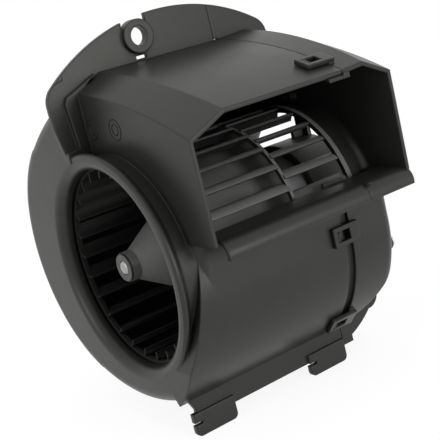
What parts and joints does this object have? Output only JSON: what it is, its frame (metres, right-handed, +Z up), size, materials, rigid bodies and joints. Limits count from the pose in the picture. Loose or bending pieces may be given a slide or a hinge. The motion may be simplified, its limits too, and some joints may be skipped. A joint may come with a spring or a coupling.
{
  "type": "cabin blower fan",
  "caption": "Double-inlet squirrel-cage blower in a two-part scroll casing with a hooded outlet, a screw flange at the back and a brushed motor inside the wheel.",
  "frame": {"origin": "on the fan axis, in the plane of the left inlet's face", "axes": "+X along the fan axis from the left inlet to the motor, -Y out of the mouth, +Z up"},
  "size_m": [0.155, 0.1868, 0.2195],
  "materials": {
    "casing_plastic": "satin, lightly grained moulding",
    "wheel_plastic": "satin moulding",
    "zinc_steel": "zinc plated",
    "spring_steel": "phosphated",
    "shaft_steel": "ground",
    "can_steel": "passivated",
    "core_steel": "stacked sheets",
    "ferrite": "fired ferrite",
    "copper_wire": "enamelled and turned copper",
    "bush_bronze": "sintered or pressed",
    "rubber": "matt",
    "washer_plastic": "turned",
    "carbon": "pressed graphite"
  },
  "bodies": {
    "housing": {"left_casing": "casing_plastic", "right_casing": "casing_plastic", "motor_carrier": "casing_plastic", "carrier_screws": "zinc_steel", "damping_ring": "rubber", "motor_can": "can_steel", "back_magnet": "ferrite", "front_magnet": "ferrite", "front_bearing": "bush_bronze", "rear_bearing": "bush_bronze", "end_cap": "casing_plastic", "upper_brush_holder": "bush_bronze", "lower_brush_holder": "bush_bronze", "upper_brush_spring": "spring_steel", "lower_brush_spring": "spring_steel", "terminals": "bush_bronze"},
    "rotor": {"impeller": "wheel_plastic", "hub_retaining_ring": "spring_steel", "motor_shaft": "shaft_steel", "armature_core": "core_steel", "armature_winding": "copper_wire", "commutator": "copper_wire", "thrust_washers": "washer_plastic"},
    "upper_brush": {"upper_carbon_brush": "carbon"},
    "lower_brush": {"lower_carbon_brush": "carbon"}
  },
  "joints": [
    {"name": "impeller_spin", "type": "hinge", "parent": "housing", "child": "rotor", "pos_m": [0, 0, 0], "axis": [1, 0, 0], "continuous": true},
    {"name": "upper_brush_retract", "type": "slide", "parent": "housing", "child": "upper_brush", "axis": [0, 0, 1], "range_m": [0, 0.003], "stiffness_N_per_m": 300, "springref_m": -0.003, "deforming": ["upper_brush_spring"]},
    {"name": "lower_brush_retract", "type": "slide", "parent": "housing", "child": "lower_brush", "axis": [0, 0, -1], "range_m": [0, 0.003], "stiffness_N_per_m": 300, "springref_m": -0.003, "deforming": ["lower_brush_spring"]}
  ]
}
